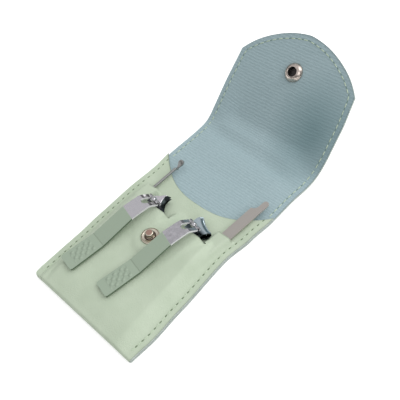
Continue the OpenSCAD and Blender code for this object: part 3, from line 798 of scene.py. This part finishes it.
def jaw_material(side, part, plating, jaw_reflection):
    """Plated arms with painted shade round the post, under the lever's fork. The jaw faces, except the upper
    arm's flat top, carry a painted reflection, and their ends a dark painted reflection with light painted
    glints.
    """
    n = polished(f"{side}_{part}_plating", plating, roughness=0.1)
    plated = n.bsdf.inputs["Base Color"].links[0].from_socket
    foot, across, forward, up = clipper_axes(side)
    obj = n.coords("Object")
    normal = n.coords("Normal")
    u = n.dot(n.vector("SUBTRACT", obj, foot), forward)
    # Painted shade on the arms round the post, under the lever's fork, reaching further behind it
    off_post = n.math("DIVIDE", n.math("MAXIMUM", u, n.math("MULTIPLY", u, -POST_SHADE_BEHIND)), POST_SHADE_LEN * MM)
    plated = n.mix(1.0, plated, n.ramp(off_post, POST_SHADE_CHROME, WHITE, 0.15, 0.5), "MULTIPLY")
    # Painted reflection on the jaw faces
    jaw = n.math("GREATER_THAN", u, JAW_START * MM)
    reflection_mask = jaw
    if part == "upper_arm":
        reflection_mask = n.math("MULTIPLY", jaw, n.math("LESS_THAN", n.dot(normal, up), TOP_LEAN))
    sideways = n.math("ABSOLUTE", n.dot(normal, across))
    # A dark painted reflection with light painted glints on the jaws' ends
    end_reflection_mask = n.math("MULTIPLY", jaw, n.math("GREATER_THAN", sideways, END_LEAN))
    end_glints = n.ramp(n.noise(obj, 1400, 2), *JAW_END_REFLECTION, 0.5, 0.72)
    n.set(Base_Color=n.mix(end_reflection_mask, n.mix(reflection_mask, plated, jaw_reflection), end_glints))
    return n.material


def lever_material(side, plate):
    """Sage paint on the handle, and bare plate from the paint's edge to the fork. Painted shade lies along
    the crease and on the painted flank, and a painted highlight on the bare flank and on the pad's bumps.
    """
    n = Material(f"{side}_lever_paint")
    foot, across, forward, _ = clipper_axes(side)
    at = n.vector("SUBTRACT", n.coords("Object"), foot)
    u, v = n.dot(at, forward), n.dot(at, across)
    skewed = n.math("ADD", u, n.math("MULTIPLY", v, PAINT_SKEW))
    bare = n.math("GREATER_THAN", skewed, -PAINT_END * MM)
    # A line of painted shade along the crease
    off_bend = n.math("ABSOLUTE", n.math("ADD", u, LEVER_BEND * MM))
    crease = n.math("LESS_THAN", off_bend, CREASE_SHADE_HALF_W * MM)
    # The flanks: painted shade on the paint, and a painted highlight on the bare plate
    sideways = n.math("ABSOLUTE", n.dot(n.coords("Normal"), across))
    flank = n.math("GREATER_THAN", sideways, FLANK_LEAN)
    chequer = pad_chequer(n, u, v)
    n.bump(chequer, 0.4, 0.8)
    # The pad's bumps are painted lighter, as a highlight
    paint = n.mix(crease, n.ramp(chequer, *PAINT_AND_BUMP_HIGHLIGHT, 0.1, 0.7), PAINT_CREASE_SHADE)
    metal = n.ramp(n.noise(n.coords("Object"), 500, 4), plate, WORN_PLATE)
    painted_roughness, bare_roughness = 0.42, 0.18
    smoother = n.math("MULTIPLY", bare, painted_roughness - bare_roughness)
    n.set(Base_Color=n.mix(bare, n.mix(flank, paint, PAINT_FLANK_SHADE), n.mix(flank, metal, PLATE_FLANK_HIGHLIGHT)),
          Metallic=n.math("MULTIPLY", bare, n.math("SUBTRACT", 1.0, flank)),
          Roughness=n.math("SUBTRACT", painted_roughness, smoother))
    return n.material


def pad_chequer(n, u, v):
    """Soft bumps in a chequer on the lever's finger pad, and 0 elsewhere."""
    turn = 2 * math.pi / (PAD_PITCH * MM)
    rows = n.math("SINE", n.math("MULTIPLY", u, turn))
    cols = n.math("SINE", n.math("MULTIPLY", v, turn))
    bumps = n.math("MAXIMUM", n.math("MULTIPLY", rows, cols), -0.3)
    past_start = n.math("LESS_THAN", u, -PAD_START * MM)
    before_end = n.math("GREATER_THAN", u, -PAD_END * MM)
    across = n.math("LESS_THAN", n.math("ABSOLUTE", v), PAD_HALF_W * MM)
    on_pad = n.math("MULTIPLY", n.math("MULTIPLY", past_start, before_end), across)
    return n.math("MULTIPLY", bumps, on_pad)


def round_snap(name, centre, way):
    """A node tree for a snap's metal, with its points' offset from the centre and distance from the axis."""
    n = Material(name)
    obj = n.coords("Object")
    n.bump(n.noise(obj, 420, 3), 0.08, 0.5)
    n.set(Metallic=1.0, Roughness=0.27)
    offset = n.vector("SUBTRACT", obj, centre)
    return n, offset, n.length(n.vector("CROSS_PRODUCT", offset, way))


def socket_material():
    """Warm nickel, with painted shade in the bore of the socket, where the spring ring lies."""
    centre, way = place(0.0, SLOPE_S + SOCKET_V, SKIN_T)
    n, offset, radius = round_snap("socket_metal", in_frame(centre), way)
    # Painted shade in the bore
    bore = n.math("MULTIPLY", n.math("LESS_THAN", radius, BORE_SHADE_R * MM),
                  n.math("GREATER_THAN", n.dot(offset, way), BORE_SHADE_FROM * MM))
    wear = n.ramp(n.noise(n.coords("Object"), 700, 4), *SOCKET)
    n.set(Base_Color=n.mix(bore, wear, SOCKET_BORE_SHADE))
    return n.material


def stud_material():
    """A knob with a rosy painted reflection in a groove of painted shade, and a pale flange with a dark
    ring.
    """
    n, _, radius = round_snap("stud_metal", in_frame((0, STUD_Y, 0)), (0, 0, 1))
    n.set(Base_Color=n.bands(n.math("DIVIDE", radius, STUD_BANDS_R * MM), STUD_BANDS))
    return n.material


def brushed_material(name, color, roughness, grain):
    """Steel with fine lines. grain gives how fine they are along each axis."""
    n = Material(name)
    lines = n.noise(n.scaled(n.coords("Object"), grain), 1.0, 4, 0.7)
    n.bump(lines, 0.03, 0.6)
    n.set(Base_Color=n.ramp(lines, darker(color, 0.85), color),
          Roughness=n.ramp(lines, grey(roughness), grey(roughness + 0.15)), Metallic=1.0)
    return n.material


def finish_cad(node, material, bevel):
    """Gives a CAD node its material and softens its sharp edges for the light."""
    piece = frame["nodes"][node]
    piece.data.materials.clear()
    piece.data.materials.append(material)
    weld = piece.modifiers.new("weld", "WELD")
    weld.merge_threshold = WELD_REACH * MM
    if bevel:
        soften = piece.modifiers.new("soften", "BEVEL")
        soften.width = bevel * MM
        soften.segments = 2
        soften.limit_method = "ANGLE"
        soften.angle_limit = BEVEL_ANGLE


# Stitching

def seam_route(side):
    """One half of the seam on the open sheet, from the bottom corner to the tip: pairs of x and length."""
    edge = HALF_W - INSET
    corner_s = SLOPE_S + arch_v(edge, INSET)
    straight = [(side * edge, s) for s in np.linspace(SEAM_START, corner_s, STRAIGHT_POINTS)]
    arch = [(side * x, SLOPE_S + arch_v(x, INSET)) for x in np.linspace(edge, 0, ARCH_POINTS)[1:]]
    return np.array(straight + arch)


def stitch_ends(route, start):
    """Pairs of ends of the stitches along a route, spaced so that a whole number of them fills it."""
    steps = np.hypot(*np.diff(route, axis=0).T)
    run = np.concatenate([[0], np.cumsum(steps)])
    count = round(run[-1] / PITCH)

    def at(length):
        return np.array([np.interp(length, run, route[:, 0]), np.interp(length, run, route[:, 1])])
    starts = np.arange(count) * run[-1] / count + start
    return [(at(s), at(s + STITCH_LEN)) for s in starts]


def stitch_place(a, b):
    """Both ends of a stitch on the pocket or the lining, and the way out of it, or None at the mouth."""
    mouth_y = mouth(a[0])
    if b[1] < mouth_y - MOUTH_MARGIN:
        ends = [np.array([sway(*p), p[1], front_height(*p)]) for p in (a, b)]
        return ends, np.array([0, 0, 1.0])
    if a[1] > mouth_y + MOUTH_MARGIN:
        (start, normal), (end, _) = place(*a, SKIN_T), place(*b, SKIN_T)
        return [start, end], normal
    return None


def stitches(thread, hole_shade):
    """The seam seen on the pocket and the lining, and the same seam on the back."""
    top, back, shade_discs = [], [], []
    for side in (-1, 1):
        route = seam_route(side)
        for a, b in stitch_ends(route, STITCH_START):
            seen = stitch_place(a, b)
            if seen is None:
                continue
            (start, end), normal = seen
            top.append(capsule(start, end, normal, THREAD_R, FRONT_SINK))
            along = (end - start) / np.linalg.norm(end - start)
            # A disc of painted shade at each dent
            shade_discs.append(dent(end + along * (PITCH - STITCH_LEN) / 2, along, normal))
        for a, b in stitch_ends(route, STITCH_START + PITCH / 2):
            (start, normal), (end, _) = place(*a, 0), place(*b, 0)
            back.append(capsule(start, end, -normal, BACK_THREAD_R, BACK_SINK))
    pieces = [join_parts("seam_thread", top, thread), join_parts("seam_thread_back", back, thread),
              join_parts("seam_hole_shades", shade_discs, hole_shade)]
    for piece in pieces:
        fold_blend(piece)


def capsule(a, b, normal, radius, sink):
    """A thread lying from a to b, arched a little and sunk at both ends."""
    along = b - a
    length = np.linalg.norm(along)
    along = along / length
    side = np.cross(along, normal)
    side /= np.linalg.norm(side)
    up = np.cross(side, along)
    verts, faces = [], []
    rings, sectors = 9, 8
    flatness, bow, tip = 0.8, 0.9, 0.02
    for i in range(rings):
        t = i / (rings - 1)
        r = radius * math.sqrt(max(1 - (2 * t - 1) ** 6, tip))
        lift = radius * bow * (1 - (2 * t - 1) ** 4) - sink
        centre = a + along * length * t + up * lift
        for k in range(sectors):
            angle = 2 * math.pi * k / sectors
            verts.append(centre + r * (side * math.cos(angle) + up * flatness * math.sin(angle)))
    for i in range(rings - 1):
        for k in range(sectors):
            m = (k + 1) % sectors
            faces.append((i * sectors + k, i * sectors + m, (i + 1) * sectors + m, (i + 1) * sectors + k))
    faces.append(tuple(range(sectors))[::-1])
    faces.append(tuple((rings - 1) * sectors + k for k in range(sectors)))
    return verts, faces


def dent(centre, along, normal):
    """A dark oval disc of painted shade where the thread dives between two stitches."""
    sectors = 12
    peak, rim = 0.03, 0.015
    side = np.cross(normal, along)
    verts = [centre + normal * peak]
    for k in range(sectors):
        angle = 2 * math.pi * k / sectors
        out = along * DENT_LEN / 2 * math.cos(angle) + side * DENT_W / 2 * math.sin(angle)
        verts.append(centre + out + normal * rim)
    faces = [(0, 1 + k, 1 + (k + 1) % sectors) for k in range(sectors)]
    return verts, faces


def join_parts(name, parts, material):
    """One mesh of many small closed or flat parts."""
    verts, faces = [], []
    for part_verts, part_faces in parts:
        base = len(verts)
        verts += part_verts
        faces += [tuple(base + i for i in f) for f in part_faces]
    return mesh_object(name, in_frame(verts), faces, [material])


def fold_blend(piece):
    """Bakes the piece's placing into its mesh; nothing here turns it with the flap."""
    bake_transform(piece)


def build_pouch():
    """Leather and lining from the mouth to the flap's tip, and their seam."""
    # The cut edges at the mouth and slits are darkened with painted shade
    edges = [edge_material("outer_edge", OUTER_EDGE), edge_material("mouth_edge_shade", MOUTH_EDGE_SHADE)]
    leather = sheet_mesh("leather", 0, LEATHER_T, [leather_material(), *edges])
    lining = sheet_mesh("lining", LEATHER_T + EPS, SKIN_T, [lining_material(), *edges])
    for piece, nodes, slot in ((leather, ("case_leather", "flap_leather"), "green_leather"),
                               (lining, ("case_lining", "flap_lining"), "blue_grey_lining")):
        fold_blend(piece)
        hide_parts(*nodes)
    stitches(thread_material(), hole_shade_material())


def build_metal():
    """Gives the tools and the snap, which stay as the CAD has them, their materials."""
    chrome = polished("chrome", CHROME, roughness=0.08).material
    # Lit and shaded copies of one plating for the two clippers, with painted reflections on their jaw faces
    looks = {"left": (LEFT_PLATING_LIT, JAW_DARK_REFLECTION, LEFT_PLATE_LIT), "right": (RIGHT_PLATING_SHADED, JAW_MISTY_REFLECTION, RIGHT_PLATE_SHADED)}
    for side, (plating, jaw_reflection, plate) in looks.items():
        finish_cad(f"{side}_upper_arm", jaw_material(side, "upper_arm", plating, jaw_reflection), CLIPPER_BEVEL)
        finish_cad(f"{side}_lower_arm", jaw_material(side, "lower_arm", plating, JAW_DARK_REFLECTION), CLIPPER_BEVEL)
        for part in ("rear_rivet", "post_pin", "cross_pin"):
            finish_cad(f"{side}_{part}", chrome, CLIPPER_BEVEL)
        finish_cad(f"{side}_lever", lever_material(side, plate), LEVER_BEVEL)
    stud, socket = stud_material(), socket_material()
    snap = {"snap_stud": stud, "snap_eyelet": stud, "snap_cap": socket, "snap_socket": socket}
    for node, metal in snap.items():
        finish_cad(node, metal, SNAP_BEVEL)
    finish_cad("snap_spring", polished("spring_steel", SPRING, roughness=0.3).material, bevel=0)
    file_steel = brushed_material("file_steel", FILE_STEEL, roughness=0.55, grain=(900, 6000, 900))
    pick_steel = brushed_material("pick_steel", PICK_STEEL, roughness=0.3, grain=(3000, 900, 3000))
    finish_cad("nail_file", file_steel, FILE_BEVEL)
    finish_cad("ear_pick", pick_steel, PICK_BEVEL)


# The studio

def build_floor():
    """White floor that keeps a soft shadow. Its glow is seen only by the camera and in metal."""
    n = Material("floor_white")
    n.tree.nodes.remove(n.bsdf)
    diffuse = n.add("ShaderNodeBsdfDiffuse", Color=grey(FLOOR_GREY)).outputs[0]
    glow = n.add("ShaderNodeEmission", Color=WHITE, Strength=FLOOR_GLOW).outputs[0]
    bright = n.add("ShaderNodeAddShader")
    n.link(diffuse, bright.inputs[0])
    n.link(glow, bright.inputs[1])
    ray = n.add("ShaderNodeLightPath").outputs
    mirrored = n.math("MAXIMUM", ray["Is Glossy Ray"], ray["Is Transmission Ray"])
    seen = n.math("MAXIMUM", ray["Is Camera Ray"], mirrored)
    n.link(n.shader(seen, diffuse, bright.outputs[0]), n.tree.nodes["Material Output"].inputs["Surface"])
    corners = [(x * FLOOR_HALF, y * FLOOR_HALF, FLOOR_Z) for x, y in ((-1, -1), (1, -1), (1, 1), (-1, 1))]
    floor = mesh_object("floor", corners, [(0, 1, 2, 3)], [n.material])


def build_world():
    """White to the camera, a soft room for dull surfaces, and a studio for metal."""
    world = bpy.data.worlds.new("studio")
    world.use_nodes = True
    bpy.context.scene.world = world
    n = Nodes(world.node_tree)
    white = n.add("ShaderNodeBackground", Color=WHITE, Strength=1.0).outputs[0]
    ray = n.add("ShaderNodeLightPath").outputs
    unseen = n.shader(ray["Is Glossy Ray"], window_light(n), studio_reflection(n))
    sky = n.shader(ray["Is Camera Ray"], unseen, white)
    n.link(sky, n.tree.nodes["World Output"].inputs["Surface"])


def window_light(n):
    """The light on dull surfaces: an even room and a broad window high on the far right."""
    ambient = n.tree.nodes["Background"]
    lobe = n.math("MAXIMUM", n.dot(n.coords("Generated"), WINDOW_WAY))
    strength = n.math("ADD", n.math("MULTIPLY", lobe, WINDOW), ROOM)
    n.give(ambient.inputs["Color"], WHITE)
    n.give(ambient.inputs["Strength"], strength)
    return ambient.outputs[0]


def studio_reflection(n):
    """What bright metal mirrors: a pale ceiling over a dark room."""
    height = n.part_of(n.coords("Generated"), "Z")
    room = n.add("ShaderNodeBackground")
    dark_room, ceiling = grey(0.03), (0.72, 0.72, 0.74, 1)
    n.give(room.inputs["Color"], n.ramp(height, dark_room, ceiling, 0.12, 0.62))
    return room.outputs[0]


def soft_light(name, location, size, watts):
    """A square lamp that faces the object."""
    lamp = bpy.data.lights.new(name, "AREA")
    lamp.energy = watts
    lamp.size = size
    holder = add_object(name, lamp)
    holder.location = location
    holder.rotation_euler = (LIT_POINT - Vector(location)).to_track_quat("-Z", "Y").to_euler()


def build_camera():
    """The photograph's view, from its focal length in pixels."""
    camera = bpy.data.cameras.new("camera")
    camera.sensor_width = SENSOR_W
    camera.lens = FOCAL_PX / FRAME_PX * camera.sensor_width
    camera.clip_start = 0.01
    holder = add_object("camera", camera)
    holder.location = in_frame(CAMERA_AT)
    holder.rotation_euler = Euler([math.radians(a) for a in CAMERA_TURN])
    bpy.context.scene.camera = holder


build_camera()
build_pouch()
build_metal()
build_floor()
build_world()
for lamp in LAMPS:
    soft_light(*lamp)
bpy.context.scene.view_settings.view_transform = "Standard"

bpy.context.view_layer.update()
